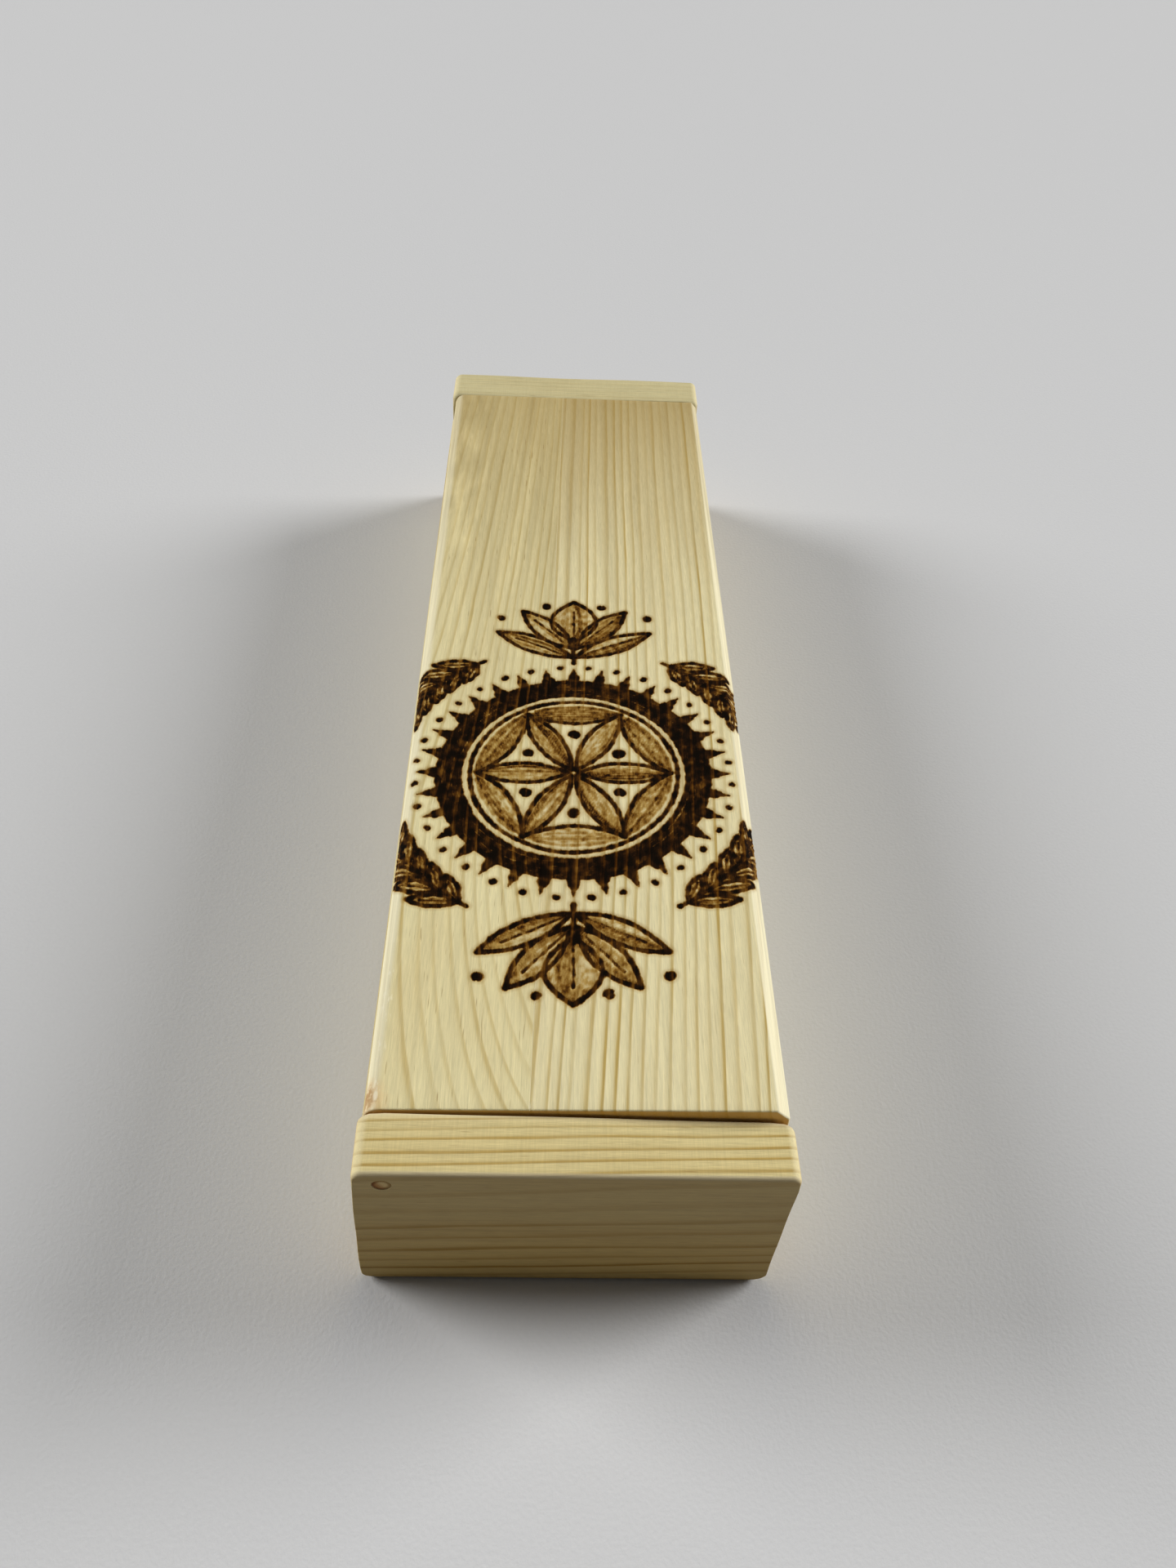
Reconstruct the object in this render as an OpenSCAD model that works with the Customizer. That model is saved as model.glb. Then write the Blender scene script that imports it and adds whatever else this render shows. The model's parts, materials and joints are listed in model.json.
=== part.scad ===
// Wooden pencil box with a lid that turns on two pins.
// Pine end blocks carry two long walls and a bottom panel, all glued. The lid is two boards glued edge to edge.
// It lies between the end blocks and turns on a wooden pin through each block, near the left top edge.
// The origin is on the table under the middle of the box: X across, Y from front to back, Z up.

/* [Box] */
// Outer width of the box
box_w = 60; // [50:1:80]
// Outer length of the box
box_l = 210; // [160:1:260]
// Height of the end blocks
box_h = 35; // [30:0.5:50]
// Radius sanded onto the long bottom edges
foot_round = 2; // [0.6:0.1:2.6]

/* [End blocks] */
// Thickness of the front end block
front_end_t = 9; // [7:0.5:14]
// Thickness of the back end block
back_end_t = 10; // [7:0.5:14]
// Radius sanded onto the top corners of the end blocks
top_round = 1.6; // [0.8:0.1:2.4]
// Radius sanded round the outer face of each end block
end_round = 1; // [0.4:0.1:1.4]
// Radius sanded onto the inner edges of each end block
end_inner_round = 0.4; // [0.2:0.1:0.8]

/* [Walls] */
// Thickness of the two long walls
wall_t = 7; // [6:0.5:10]
// Radius on the top edges of the walls
wall_round = 0.6; // [0.3:0.1:1.2]
// Thickness of the tongue on each end of a wall
tongue_t = 3; // [2:0.5:4]
// Length of each tongue, and depth of its mortise in the end block
tongue_l = 4; // [2:0.5:5]
// Height of wall left above and below each tongue
tongue_shoulder = 3; // [2:0.5:4]

/* [Bottom panel] */
// Thickness of the bottom panel
panel_t = 4; // [3:0.5:6]
// Height of the panel's underside above the table
panel_lift = 3; // [2:0.5:5]
// Depth of the groove that holds the panel
groove_d = 3; // [2:0.5:4]

/* [Lid] */
// Thickness of the lid
lid_t = 6; // [5:0.5:8]
// Width of the lid board that carries the hinge, at the front end
hinge_board_front_w = 22.8; // [15:0.1:35]
// Width of the same board at the back end
hinge_board_back_w = 26.3; // [15:0.1:35]
// How far the lid's long edges stand in from the walls' outer faces
lid_inset = 0.6; // [0.2:0.1:1]
// Gap between each end of the lid and its end block
lid_end_gap = 0.4; // [0.2:0.1:1]
// Gap between the closed lid and the wall that it shuts on
lid_seat_gap = 0.2; // [0.1:0.05:0.5]
// Radius on the lid's upper edge over the hinge
hinge_edge_round = 2.4; // [1:0.1:2.6]
// Radius on the upper edge of the lid's free side
free_edge_round = 1.8; // [0.6:0.1:2.6]
// Radius on the lower edge of the lid's free side
free_lower_round = 0.8; // [0.4:0.1:1.5]
// Twist that the lid has taken in drying, from its back end to its front end, in degrees
lid_wind = 2.3; // [0.5:0.1:3]

/* [Hinge] */
// Diameter of the hinge pins
pin_d = 2.6; // [2:0.1:3.2]
// Distance from the box's left face to the pins' axis
pin_from_side = 4; // [3.6:0.1:5]
// Distance from the end blocks' top to the pins' axis
pin_from_top = 3; // [2.6:0.1:3.6]
// Length of each pin inside the lid
pin_in_lid = 12; // [8:0.5:20]
// Space beyond the end of each pin in its hole
pin_end_gap = 1; // [0.5:0.1:2]
// Radial play of the pins in the lid
pin_play = 0.05; // [0.02:0.01:0.1]
// Gap between the lid's turning edge and the wall under it
hinge_gap = 0.2; // [0.1:0.05:0.6]

/* [Hidden] */
$fn = 64;

// How far solids that are cut away run past the faces that they cut
over = 1;
// Flats to a quarter turn on the lid's rounded edges, and slices along its twist
arc_steps = 8;
wind_slices = 12;

pine = [0.86, 0.76, 0.55];
pale_pine = [0.90, 0.82, 0.63];
birch_ply = [0.84, 0.73, 0.54];
pin_wood = [0.66, 0.50, 0.30];

// Inner faces of the end blocks and of the walls
front_y = -box_l / 2 + front_end_t;
back_y = box_l / 2 - back_end_t;
inner_x = box_w / 2 - wall_t;

// Axis of the hinge pins
pin_x = -box_w / 2 + pin_from_side;
pin_z = box_h - pin_from_top;

// Edges of the lid, measured from the pins' axis
lid_left = lid_inset - pin_from_side;
lid_right = lid_left + box_w - 2 * lid_inset;
lid_upper = pin_from_top;
lid_lower = pin_from_top - lid_t;
lid_front_y = front_y + lid_end_gap;
lid_back_y = back_y - lid_end_gap;

// The lower hinge edge is as round as the lid's thickness under the pins allows
lid_hinge_round = min(-lid_left, -lid_lower);

// Greatest reach of the lid's hinge edge from the pins' axis as it turns
function corner_reach(dx, dz, r) = norm([dx - r, dz - r]) + r;
hinge_reach = max(corner_reach(-lid_left, lid_upper, hinge_edge_round),
                  corner_reach(-lid_left, -lid_lower, lid_hinge_round));

// Top edges of the walls: one clears the turning lid, the other is what the lid shuts on
hinge_wall_top = pin_z - hinge_reach - hinge_gap;
opening_wall_top = pin_z + lid_lower - lid_seat_gap;

// Tongues start above the bottom panel and end below the lower wall's top
tongue_z0 = panel_lift + panel_t + tongue_shoulder;
tongue_z1 = min(hinge_wall_top, opening_wall_top) - tongue_shoulder;
tongue_x = inner_x + wall_t / 2;

// The open lid comes to rest with its face on the outer top edge of the hinge wall
rest_x = pin_from_side - wall_round;
rest_z = pin_z - hinge_wall_top + wall_round;
lid_opens_to = 180 + acos((lid_upper + wall_round) / norm([rest_x, rest_z])) - atan(rest_x / rest_z) - lid_wind;
echo(lid_opens_to = lid_opens_to);

// Rectangle with a radius at each corner, in the order lower left, lower right, upper right, upper left
module soft_rect(lo, hi, r) {
    polygon([
        [lo.x, lo.y + r[0]], [lo.x + r[0], lo.y],
        [hi.x - r[1], lo.y], [hi.x, lo.y + r[1]],
        [hi.x, hi.y - r[2]], [hi.x - r[2], hi.y],
        [lo.x + r[3], hi.y], [lo.x, hi.y - r[3]]]);
    translate([lo.x + r[0], lo.y + r[0]]) circle(r[0]);
    translate([hi.x - r[1], lo.y + r[1]]) circle(r[1]);
    translate([hi.x - r[2], hi.y - r[2]]) circle(r[2]);
    translate([lo.x + r[3], hi.y - r[3]]) circle(r[3]);
}

// What is drawn in X and Z, extruded from y0 to y1
module along_y(y0, y1) {
    translate([0, y1, 0]) rotate([90, 0, 0]) linear_extrude(y1 - y0) children();
}

// What is drawn in Y and Z, extruded from x0 to x1
module along_x(x0, x1) {
    translate([x0, 0, 0]) rotate([90, 0, 90]) linear_extrude(x1 - x0) children();
}

// Plain block between two corners
module block(lo, hi) {
    translate(lo) cube(hi - lo);
}

// End block at the front of the box; the one at the back is its mirror image
module end_block(t) {
    y0 = -box_l / 2;
    y1 = y0 + t;
    half_w = box_w / 2;
    sides = [end_round, end_round, end_inner_round, end_inner_round];
    difference() {
        intersection() {
            along_y(y0, y1)
                soft_rect([-half_w, 0], [half_w, box_h], [foot_round, foot_round, top_round, top_round]);
            along_x(-half_w, half_w)
                soft_rect([y0, 0], [y1, box_h], [end_round, end_inner_round, end_inner_round, end_round]);
            linear_extrude(box_h) soft_rect([-half_w, y0], [half_w, y1], sides);
        }
        for (side = [-1, 1]) mortise(side * tongue_x, y1);
        block([-inner_x - groove_d, y1 - groove_d, panel_lift],
              [inner_x + groove_d, y1 + over, panel_lift + panel_t]);
        translate([pin_x, y0 - over, pin_z]) rotate([-90, 0, 0]) cylinder(d = pin_d, h = t + 2 * over);
    }
}

module mortise(x, y) {
    block([x - tongue_t / 2, y - tongue_l, tongue_z0], [x + tongue_t / 2, y + over, tongue_z1]);
}

// Long wall on the right, with its top edge at the given height; the one on the left is its mirror image
module wall(top) {
    difference() {
        along_y(front_y, back_y)
            soft_rect([inner_x, 0], [box_w / 2, top], [wall_round, foot_round, wall_round, wall_round]);
        block([inner_x - over, front_y - over, panel_lift],
              [inner_x + groove_d, back_y + over, panel_lift + panel_t]);
    }
    block([tongue_x - tongue_t / 2, front_y - tongue_l, tongue_z0],
          [tongue_x + tongue_t / 2, back_y + tongue_l, tongue_z1]);
}

// Points on a quarter turn of radius r, from the given angle
function quarter(centre, r, from) =
    [for (i = [0:arc_steps]) centre + r * [cos(from + 90 * i / arc_steps), sin(from + 90 * i / arc_steps)]];

// Section of the lid about the pins' axis
module lid_section() {
    polygon(concat(
        quarter([lid_right - free_edge_round, lid_upper - free_edge_round], free_edge_round, 0),
        quarter([lid_left + hinge_edge_round, lid_upper - hinge_edge_round], hinge_edge_round, 90),
        quarter([lid_left + lid_hinge_round, lid_lower + lid_hinge_round], lid_hinge_round, 180),
        quarter([lid_right - free_lower_round, lid_lower + free_lower_round], free_lower_round, 270)));
}

// The whole lid, its section turning about the pins' axis from the back end to the front end
module wound_lid() {
    translate([pin_x, lid_back_y, pin_z]) rotate([90, 0, 0])
        linear_extrude(lid_back_y - lid_front_y, twist = -lid_wind, slices = wind_slices) lid_section();
}

// Place of the glue line between the lid's boards, which runs a little askew
function glue_line_x(y) = pin_x + lid_left + hinge_board_front_w
    + (hinge_board_back_w - hinge_board_front_w) * (y - lid_front_y) / (lid_back_y - lid_front_y);

// All that lies on the hinge's side of the glue line
module hinge_side_of_glue_line() {
    y0 = lid_front_y - over;
    y1 = lid_back_y + over;
    linear_extrude(2 * box_h)
        polygon([[-box_w, y0], [glue_line_x(y0), y0], [glue_line_x(y1), y1], [-box_w, y1]]);
}

module front_end_block() {
    color(pine) end_block(front_end_t);
}

module back_end_block() {
    color(pine) mirror([0, 1, 0]) end_block(back_end_t);
}

module hinge_side_wall() {
    color(pine) mirror([1, 0, 0]) wall(hinge_wall_top);
}

module opening_side_wall() {
    color(pine) wall(opening_wall_top);
}

module bottom_panel() {
    edge = inner_x + groove_d;
    color(birch_ply)
        block([-edge, front_y - groove_d, panel_lift], [edge, back_y + groove_d, panel_lift + panel_t]);
}

module lid_hinge_board() {
    hole_d = pin_d + 2 * pin_play;
    depth = lid_end_gap + pin_in_lid + pin_end_gap;
    color(pale_pine) difference() {
        intersection() {
            wound_lid();
            hinge_side_of_glue_line();
        }
        for (y = [front_y, back_y - depth])
            translate([pin_x, y, pin_z]) rotate([-90, 0, 0]) cylinder(d = hole_d, h = depth);
    }
}

module lid_free_board() {
    color(pale_pine) difference() {
        wound_lid();
        hinge_side_of_glue_line();
    }
}

// Pin from the outer face of an end block into the lid
module hinge_pin(y0, y1) {
    color(pin_wood) translate([pin_x, y0, pin_z]) rotate([-90, 0, 0]) cylinder(d = pin_d, h = y1 - y0);
}

module front_hinge_pin() {
    hinge_pin(-box_l / 2, lid_front_y + pin_in_lid);
}

module back_hinge_pin() {
    hinge_pin(lid_back_y - pin_in_lid, box_l / 2);
}

front_end_block();
back_end_block();
hinge_side_wall();
opening_side_wall();
bottom_panel();
lid_hinge_board();
lid_free_board();
front_hinge_pin();
back_hinge_pin();
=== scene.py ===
# Looks of a pine pencil box: growth rings, a folk ornament burnt into the lid, and wooden hinge pins
import json
import math

import bmesh
import bpy
import numpy as np
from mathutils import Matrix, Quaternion, Vector
from mathutils.geometry import delaunay_2d_cdt


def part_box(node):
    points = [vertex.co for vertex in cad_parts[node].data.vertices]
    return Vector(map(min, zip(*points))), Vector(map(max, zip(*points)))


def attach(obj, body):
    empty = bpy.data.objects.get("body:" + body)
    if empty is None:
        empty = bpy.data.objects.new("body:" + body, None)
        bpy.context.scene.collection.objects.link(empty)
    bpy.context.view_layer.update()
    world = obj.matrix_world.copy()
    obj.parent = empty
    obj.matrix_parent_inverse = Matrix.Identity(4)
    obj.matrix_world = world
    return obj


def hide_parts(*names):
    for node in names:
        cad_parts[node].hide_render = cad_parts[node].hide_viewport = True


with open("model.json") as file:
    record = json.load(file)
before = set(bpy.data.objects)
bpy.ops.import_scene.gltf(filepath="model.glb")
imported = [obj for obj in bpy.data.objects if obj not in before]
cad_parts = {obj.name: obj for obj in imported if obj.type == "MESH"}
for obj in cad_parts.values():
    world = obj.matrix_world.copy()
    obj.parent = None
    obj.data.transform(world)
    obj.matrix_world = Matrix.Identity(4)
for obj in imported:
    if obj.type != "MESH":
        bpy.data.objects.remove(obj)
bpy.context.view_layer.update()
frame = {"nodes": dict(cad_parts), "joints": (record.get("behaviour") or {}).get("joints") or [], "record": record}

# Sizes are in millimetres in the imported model's frame, and become metres where pieces and stage are made
MM = 0.001


def node_box(node):
    low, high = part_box(node)
    return np.array(low) / MM, np.array(high) / MM


def body_of(node):
    bodies = frame["record"]["behaviour"]["bodies"]
    return next(body for body, nodes in bodies.items() if node in nodes)


front_low, front_high = node_box("front_end_block")
back_low, _ = node_box("back_end_block")
hinge_wall_low, hinge_wall_high = node_box("hinge_side_wall")
_, opening_wall_high = node_box("opening_side_wall")
panel_low, panel_high = node_box("bottom_panel")
hinge_board_low, hinge_board_high = node_box("lid_hinge_board")
free_board_low, free_board_high = node_box("lid_free_board")
front_pin_low, front_pin_high = node_box("front_hinge_pin")
hinge_x, _, hinge_z = np.array(frame["joints"][0]["pos_m"]) / MM
pin_radius = (front_pin_high[0] - front_pin_low[0]) / 2
wall_t = hinge_wall_high[0] - hinge_wall_low[0]
tongue_l = front_high[1] - hinge_wall_low[1]
groove_d = front_high[1] - panel_low[1]

# Lid: its place on the box, and its twist about the hinge axis from the back end to the front end
LID_INSET = 0.6
LID_SEAT_GAP = 0.2
LID_BACK_REACH = 0.28
LID_WIND = math.radians(2.3)

# Edges of the lid: their radii, the cut along the free edge, and how much of that cut there is at the back
LID_FRONT_ROUND = 0.3
LID_BACK_ROUND = 0.15
HINGE_UPPER_ROUND = 2.4
FREE_LOWER_ROUND = 0.8
FREE_CUT_WIDTH = 1.9
FREE_CUT_HEIGHT = 2.2
FREE_CUT_EASE = 0.6
FREE_CUT_AT_BACK = 0.6
SEAM_EASE = 0.03

# Room that a bore in the lid leaves beyond its pin's end and round the pin
BORE_END_GAP = 1.0
BORE_PLAY = 0.05

# Sides of the lid, measured from the hinge axis, and its ends and glue line in the frame
lid_left = front_low[0] + LID_INSET - hinge_x
lid_right = front_high[0] - LID_INSET - hinge_x
lid_upper = front_high[2] - hinge_z
lid_lower = opening_wall_high[2] + LID_SEAT_GAP - hinge_z
hinge_lower_round = min(-lid_left, -lid_lower)
lid_front, lid_back = hinge_board_low[1], hinge_board_high[1] + LID_BACK_REACH
glue_line_front, glue_line_back = free_board_low[0], hinge_board_high[0]

# End blocks: corner radii lower left, lower right, upper right, upper left, and those of the end faces
BLOCK_ROUNDS = (1.5, 2.4, 1.5, 1.7)
BLOCK_OUTER_ROUND = 0.7
BLOCK_INNER_ROUND = 0.2

# Share of the outer radius on a block's upright edges, and the rounder corners beside the lid
SIDE_EDGE_SHARE = 0.2
BLOCK_CORNER_ROUND = 1.3
BLOCK_CORNER_REACH = 3.0

# Height of each wave that hand sanding leaves in the sides of the blocks
HAND_WORK = 0.05

# Radius of the walls' edges, and how much further out the hinge side stands at its foot than at its top
WALL_ROUND = 0.6
HINGE_SIDE_LEAN = 1.75

# Slope of the joint in front of the lid, and the length of lid and wall that it dies out over
FRONT_CUT = 0.0125
FRONT_CUT_FADE = 8.0

# Tongues of the walls, and the pins with the gap round them in the end blocks
TONGUE_T = 3.0
TONGUE_SHOULDER = 3.0
PIN_HOLE_GAP = 0.04
PIN_END_EASE = 0.12
PIN_SUNK = 0.03

# Ornament on the lid: its centre, the mesh's steps over it and beside it, and the depth of the burnt lines
ORNAMENT_CENTRE = (-0.5, -32.0)
ORNAMENT_REACH = 49.0
FINE_STEP = 0.3
COARSE_STEP = 1.2
BURN_DEPTH = 0.12

# Distances inwards from their edges between which lines and washes set in, and one that is far outside
BURN_SLOPE = (-0.15, 0.25)
WASH_SLOPE = (-0.25, 0.15)
FAR_FROM_BURN = -2.0

# Height above its underside up to which the lid is never burnt
UNDERSIDE_RISE = 0.5


# Outlines and lofts

# Kind of triangulation that fills outlines and nothing beside them
INSIDE_OUTLINES = 1

# Distance up to which points are taken as one, and the least to divide by
SAME_POINT = 1e-5
TINY = 1e-9

# Edges that turn by more than this are shaded as sharp
SHARP_EDGE = math.radians(38)


def arc(centre, radius, start, end, steps):
    angles = np.radians(np.linspace(start, end, steps + 1))
    return np.stack([centre[0] + radius * np.cos(angles), centre[1] + radius * np.sin(angles)], axis=1)


def circle(radius, steps):
    """Circle round the hinge axis."""
    return arc((hinge_x, hinge_z), radius, 0, 360, steps)[:-1]


def line(start, end, steps):
    share = np.linspace(0, 1, steps + 1)[:, None]
    return np.array(start, float) * (1 - share) + np.array(end, float) * share


def closed(*stretches):
    """One closed outline of several stretches. A point that ends one and begins the next is kept once."""
    points = np.concatenate(stretches)
    gap = np.linalg.norm(points - np.roll(points, 1, axis=0), axis=1)
    return points[gap > SAME_POINT]


def rect(low, high):
    return np.array([(low[0], low[1]), (high[0], low[1]), (high[0], high[1]), (low[0], high[1])])


def soft_rect(low, high, rounds, steps=8, side_step=2.0):
    """Rectangle with a radius at each corner, counted from the lower left one round to the right."""
    inward = ((1, 1), (-1, 1), (-1, -1), (1, -1))
    corners = []
    for corner, way, radius, start in zip(rect(low, high), inward, rounds, (180, 270, 360, 450)):
        corners.append(arc(corner + radius * np.array(way), radius, start, start + 90, steps))
    stretches = []
    for corner, after in zip(corners, corners[1:] + corners[:1]):
        stretches.append(corner)
        side_length = np.linalg.norm(after[0] - corner[-1])
        stretches.append(line(corner[-1], after[0], int(side_length / side_step)))
    return closed(*stretches)


def cut_corner(corner, width, height, ease):
    """An upper right corner cut off over a width and a height: the eased edges above and below the cut."""
    faces = math.degrees(math.atan2(width, height))
    above = ease * math.tan(math.radians(90 - faces) / 2)
    below = ease * math.tan(math.radians(faces) / 2)
    over = arc((corner[0] - width - above, corner[1] - ease), ease, 90, faces, 4)
    down = arc((corner[0] - ease, corner[1] - height - below), ease, faces, 0, 4)
    return over, down


def drawn_in(outline, distance):
    """An outline moved inwards, by one distance all round or by one for each point."""
    x, y = outline.T
    along = np.roll(outline, -1, axis=0) - np.roll(outline, 1, axis=0)
    along /= np.linalg.norm(along, axis=1, keepdims=True)
    left = np.stack([-along[:, 1], along[:, 0]], axis=1)
    turn = np.sign(np.sum(x * np.roll(y, -1) - y * np.roll(x, -1)))
    return outline + turn * left * np.reshape(distance, (-1, 1))


def rounded_end(face, radius, way, steps):
    """Stations of a rounded end from its face inwards: the place, and how far the outline is drawn in."""
    turns = np.linspace(0, math.pi / 2, steps + 1)
    return [(face + way * radius * (1 - math.cos(t)), radius * (1 - math.sin(t))) for t in turns]


def stood_up(outline, y):
    """An outline in X and Z, placed at y."""
    return np.stack([outline[:, 0], np.full(len(outline), y), outline[:, 1]], axis=1)


def loft(rings):
    """A skin over rings of equal numbers of points, open at both ends, with its first and last ring."""
    bm = bmesh.new()
    rows = [[bm.verts.new(point) for point in ring] for ring in rings]
    for row, after in zip(rows, rows[1:]):
        skin(bm, row, after)
    return bm, rows[0], rows[-1]


def skin(bm, row, after):
    for k in range(len(row)):
        bm.faces.new((row[k - 1], row[k], after[k], after[k - 1]))


def close_end(bm, rim, pockets=()):
    """Closes an end that lies square to Y. A pocket is an outline in X and Z and its depth along Y."""
    if not pockets:
        bm.faces.new(rim)
        return
    mouths = [[bm.verts.new(point) for point in stood_up(outline, rim[0].co.y)] for outline, _ in pockets]
    corners, sides = [], []
    for loop in [rim] + mouths:
        sides += [(len(corners) + k, len(corners) + (k + 1) % len(loop)) for k in range(len(loop))]
        corners += loop
    flat = [corner.co.xz for corner in corners]
    triangles, sources = delaunay_2d_cdt(flat, sides, [], INSIDE_OUTLINES, SAME_POINT)[2:4]
    for triangle in triangles:
        picked = [corners[sources[k][0]] for k in triangle]
        if not any(set(picked) <= set(mouth) for mouth in mouths):
            bm.faces.new(picked)
    for mouth, (_, depth) in zip(mouths, pockets):
        floor = [bm.verts.new(v.co + Vector((0, depth, 0))) for v in mouth]
        skin(bm, mouth, floor)
        bm.faces.new(floor)


def cut_askew(bm):
    """Moves what lies at the front joint forward towards the opening side, as its cut isn't square."""
    reach = (front_low[1], front_high[1], lid_front, lid_front + FRONT_CUT_FADE)
    for vertex in bm.verts:
        share = np.interp(vertex.co.y, reach, (0, 1, 1, 0))
        vertex.co.y -= FRONT_CUT * (vertex.co.x - hinge_x) * share


def finish_piece(bm, node, material, attributes=()):
    """Makes an object of a mesh in millimetres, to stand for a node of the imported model."""
    cut_askew(bm)
    bmesh.ops.recalc_face_normals(bm, faces=bm.faces)
    bmesh.ops.scale(bm, vec=(MM, MM, MM), verts=bm.verts)
    mesh = bpy.data.meshes.new("dressed_" + node)
    bm.to_mesh(mesh)
    bm.free()
    for key, values in attributes:
        mesh.attributes.new(key, "FLOAT", "POINT").data.foreach_set("value", values.astype(np.float32))
    mesh.shade_smooth()
    mesh.set_sharp_from_angle(angle=SHARP_EDGE)
    mesh.materials.append(material)
    piece = bpy.data.objects.new("dressed_" + node, mesh)
    bpy.context.scene.collection.objects.link(piece)
    piece.modifiers.new("even_normals", "WEIGHTED_NORMAL").keep_sharp = True
    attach(piece, body_of(node))
    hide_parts(node)


# Ornament: strokes of a hot pen, each with its points, half-widths and tones

# Pen: its half-width, its sway, the step between its beads, and how fast its dwelling at an end dies out
PEN_HALF_WIDTH = 0.46
PEN_SWAY = 0.16
BEAD_STEP = 2.1
END_DWELL = 9.0

# How much a stroke's width and its tone change where the pen dwells, in slow blots and in beads
WIDTH_SWING = np.array((0.18, 0.14, 0.13))
TONE_SWING = np.array((0.20, 0.20, 0.13))

# Radii of the ornament's rounds, from the rosette outwards, and the number of teeth
ROSETTE_RADIUS = 16.8
FINE_RING = 17.9
BORDER_INNER = 19.3
BORDER_OUTER = 23.7
TOOTH_TIP = 27.0
GARLAND_RADIUS = 33.4
TEETH = 32

# Sprig: its stem and bud along the lid, its leaves with foot, tip and half-width, and its dots with radius
SPRIG_STEM = (28.6, 36.0)
SPRIG_BUD = (35.0, 47.0)
BUD_HALF_WIDTH = 4.4
SPRIG_LEAVES = (((0.4, 33.0), (10.0, 44.0), 2.4), ((0.4, 30.4), (14.6, 37.6), 2.1))
SPRIG_DOTS = (((5.4, 45.4), 0.75), ((14.4, 42.0), 0.7))


def polar(radius, degrees):
    angle = np.radians(degrees)
    return np.stack([radius * np.cos(angle), radius * np.sin(angle)], axis=-1)


def bowed(start, end, bulge, steps=16):
    """Curve from start to end that bulges to its left by the given height."""
    start, end = np.array(start, float), np.array(end, float)
    share = np.linspace(0, 1, steps + 1)[:, None]
    left = np.array([start[1] - end[1], end[0] - start[0]]) / np.linalg.norm(end - start)
    return start + (end - start) * share + left * bulge * 4 * share * (1 - share)


class Drawing:
    """Lines and lighter washes, in millimetres across and along the lid from the ornament's centre."""

    def __init__(self, seed):
        self.random = np.random.RandomState(seed)
        self.lines = []
        self.washes = []

    def waves(self, share, counts):
        """Slow waves along a stroke, between -1 and 1."""
        starts = self.random.uniform(0, 2 * math.pi, len(counts))
        return sum(np.sin(math.pi * n * share + start) for n, start in zip(counts, starts)) / len(counts)

    def stroke(self, points, half_width, tone, taper=0.0):
        """A line as a hand draws it: unsteady, and wider and darker where the pen sets down and lifts."""
        points = np.asarray(points, float)
        share = np.linspace(0, 1, len(points))
        along = np.gradient(points, axis=0)
        along /= np.maximum(np.linalg.norm(along, axis=1, keepdims=True), TINY)
        side = np.stack([-along[:, 1], along[:, 0]], axis=1)
        sway = PEN_SWAY * self.waves(share, (1, 2, 5)) * np.sin(math.pi * share)
        dwell = np.exp(-END_DWELL * share) + np.exp(-END_DWELL * (1 - share))
        blots = self.waves(share, (3, 7, 11))
        length = np.append(0, np.cumsum(np.linalg.norm(np.diff(points, axis=0), axis=1)))
        beads = np.sin(2 * math.pi * length / BEAD_STEP + self.random.uniform(0, 2 * math.pi))
        changes = np.stack([dwell, blots, beads])
        widths = half_width * (1 + WIDTH_SWING @ changes) * (1 - taper * share)
        tones = np.clip(tone + TONE_SWING @ changes, 0, 1)
        return points + side * sway[:, None], widths, tones

    def line(self, points, half_width=PEN_HALF_WIDTH, tone=0.72, taper=0.0):
        self.lines.append(self.stroke(points, half_width, tone, taper))

    def dot(self, place, radius):
        place = np.asarray(place, float)
        tail = self.random.uniform(-0.3, 0.3, 2)
        self.lines.append(self.stroke([place, place + tail / 2, place + tail], radius, 0.85))

    def wash(self, first, second, count, tone):
        """Scorched strokes side by side, that run along the space between two curves."""
        spacing = np.linalg.norm(second - first, axis=1).max() / count
        for share in (np.arange(count) + 0.5) / count:
            path = first + (second - first) * share
            begin = self.random.randint(0, 3)
            end = len(path) - self.random.randint(0, 3)
            shade = tone * self.random.uniform(0.35, 1.4)
            self.washes.append(self.stroke(path[begin:end], spacing * 0.45, shade))

    def leaf(self, base, tip, half_width, count=3, shades=(0.5, 0.28), ribbed=True):
        """Pointed leaf, scorched more on the right of its midrib."""
        base, tip = np.array(base, float), np.array(tip, float)
        left, right = bowed(base, tip, half_width), bowed(base, tip, -half_width)
        rib = line(base, tip, 16)
        self.line(left)
        self.line(right)
        if ribbed:
            self.line(rib[:13], half_width=0.3, tone=0.6)
        for side, shade in zip((right, left), shades):
            self.wash(rib, side, count, shade)

    def ring(self, radius, half_width, tone):
        """Circle drawn in quarter turns that overlap a little."""
        for start in range(20, 380, 90):
            self.line(polar(radius, np.linspace(start, start + 96, 48)), half_width, tone)


def rosette(drawing, radius):
    """Six-petalled compass rosette."""
    bulge = radius * (1 - math.cos(math.radians(30)))
    for angle in range(0, 360, 60):
        heart, tip = polar(radius * 0.05, angle), polar(radius, angle)
        drawing.leaf(heart, tip, bulge, 4, shades=(0.62, 0.36), ribbed=False)
        following = polar(radius, angle + 60)
        inner, outer = bowed(tip, following, bulge, 20), bowed(tip, following, -bulge, 20)
        drawing.line(inner)
        drawing.wash(inner, outer, 7, 0.5)
        drawing.dot(polar(radius * 0.56, angle + 30), 0.85)


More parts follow.
